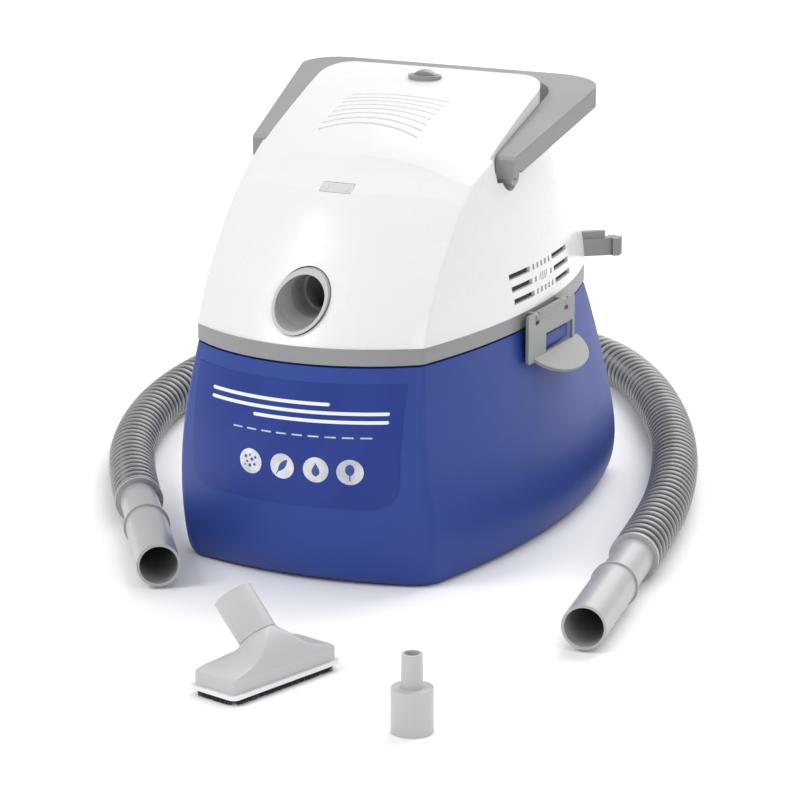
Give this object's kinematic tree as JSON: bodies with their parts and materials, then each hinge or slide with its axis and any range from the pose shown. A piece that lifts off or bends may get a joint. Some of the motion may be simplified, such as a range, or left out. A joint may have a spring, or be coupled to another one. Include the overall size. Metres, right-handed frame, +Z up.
{
  "type": "shop vacuum",
  "caption": "Compact wet and dry shop vacuum: rounded white head with a carrying handle on a blue tank, side clips, loose corrugated hose, upholstery nozzle and reducer.",
  "frame": {"origin": "on the floor under the middle foot, midway between the clips", "axes": "+Z up, -Y towards the hose inlet at the front, +X to the side whose clip and slots are seen first"},
  "size_m": [0.6484, 1.0409, 0.3707],
  "materials": {
    "head_white": "glossy white moulding",
    "trim_grey": "satin mid-grey moulding",
    "tank_blue": "satin royal-blue moulding",
    "label_film": "printed film",
    "hose_grey": "glossy ribbed vinyl",
    "cuff_grey": "satin grey moulding",
    "tool_grey": "satin light-grey moulding",
    "tool_white": "white moulding",
    "bristle_dark": "nylon bristle",
    "foot_rubber": "matte rubber",
    "foam_dark": "open foam",
    "plate_black": "black moulding",
    "pin_steel": "ground steel",
    "screw_zinc": "zinc plated",
    "fan_alu": "cast",
    "laminate": "stacked steel sheet",
    "winding": "enamelled copper",
    "carbon": "pressed carbon",
    "holder_brass": "stamped",
    "lens": "translucent grey"
  },
  "bodies": {
    "tank": {"tank_shell": "tank_blue", "foot_pads": "foot_rubber", "tank_label": "label_film", "hose_tube": "hose_grey", "hose_cuff_machine": "cuff_grey", "hose_cuff_tool": "cuff_grey"},
    "handle": {"handle_bail": "trim_grey"},
    "latch_r": {"latch_right": "trim_grey"},
    "latch_l": {"latch_left": "trim_grey"},
    "button": {"power_button": "trim_grey"},
    "rotor": {"motor_shaft": "pin_steel", "armature": "laminate", "commutator": "winding", "impeller": "fan_alu", "cooling_fan": "plate_black", "shaft_nut": "screw_zinc"},
    "float": {"float_cup": "tool_white"},
    "nozzle": {"nozzle_body": "tool_grey", "nozzle_rim": "tool_white", "nozzle_bristles": "bristle_dark"},
    "reducer": {"adapter": "tool_grey"},
    "head": {"head_shell": "head_white", "indicator_window": "lens", "head_band": "trim_grey", "head_gasket": "foam_dark", "motor_deck": "plate_black", "inlet_tube": "cuff_grey", "inlet_seal": "foot_rubber", "blower_outlet": "cuff_grey", "handle_pins": "pin_steel", "latch_pins": "pin_steel", "switch_bezel": "trim_grey", "button_spring": "pin_steel", "switch_body": "plate_black", "cord_hooks": "trim_grey", "cord_gland": "plate_black", "fan_casing": "fan_alu", "motor_gasket": "foam_dark", "deck_screws": "screw_zinc", "motor_housing": "plate_black", "bearings": "pin_steel", "stator": "laminate", "field_coils": "winding", "carbon_brushes": "carbon", "brush_holders": "holder_brass", "exhaust_foam": "foam_dark", "filter_cage": "plate_black", "cage_screws": "screw_zinc", "filter_sleeve": "foam_dark", "filter_ring": "plate_black", "head_screws": "screw_zinc"}
  },
  "joints": [
    {"name": "head_lift", "type": "slide", "parent": "tank", "child": "head", "axis": [0, 0, 1], "range_m": [0, 0.12]},
    {"name": "handle_hinge", "type": "hinge", "parent": "head", "child": "handle", "pos_m": [0, -0.025, 0.305], "axis": [1, 0, 0], "range_deg": [0, 60]},
    {"name": "latch_r_hinge", "type": "hinge", "parent": "head", "child": "latch_r", "pos_m": [0.127, 0.016, 0.187], "axis": [0, -1, 0], "range_deg": [0, 40]},
    {"name": "latch_l_hinge", "type": "hinge", "parent": "head", "child": "latch_l", "pos_m": [-0.127, 0.016, 0.187], "axis": [0, 1, 0], "range_deg": [0, 40]},
    {"name": "button_press", "type": "slide", "parent": "head", "child": "button", "axis": [0, 0, -1], "range_m": [0, 0.003], "stiffness_N_per_m": 400, "springref_m": -0.002, "deforming": ["button_spring"]},
    {"name": "rotor_spin", "type": "hinge", "parent": "head", "child": "rotor", "pos_m": [0, 0.018, 0.23], "axis": [0, 0, 1], "continuous": true},
    {"name": "float_rise", "type": "slide", "parent": "head", "child": "float", "axis": [0, 0, 1], "range_m": [0, 0.014]},
    {"name": "nozzle_lift", "type": "slide", "parent": "tank", "child": "nozzle", "axis": [0, 0, 1], "range_m": [0, 0.1]},
    {"name": "reducer_lift", "type": "slide", "parent": "tank", "child": "reducer", "axis": [0, 0, 1], "range_m": [0, 0.1]}
  ]
}
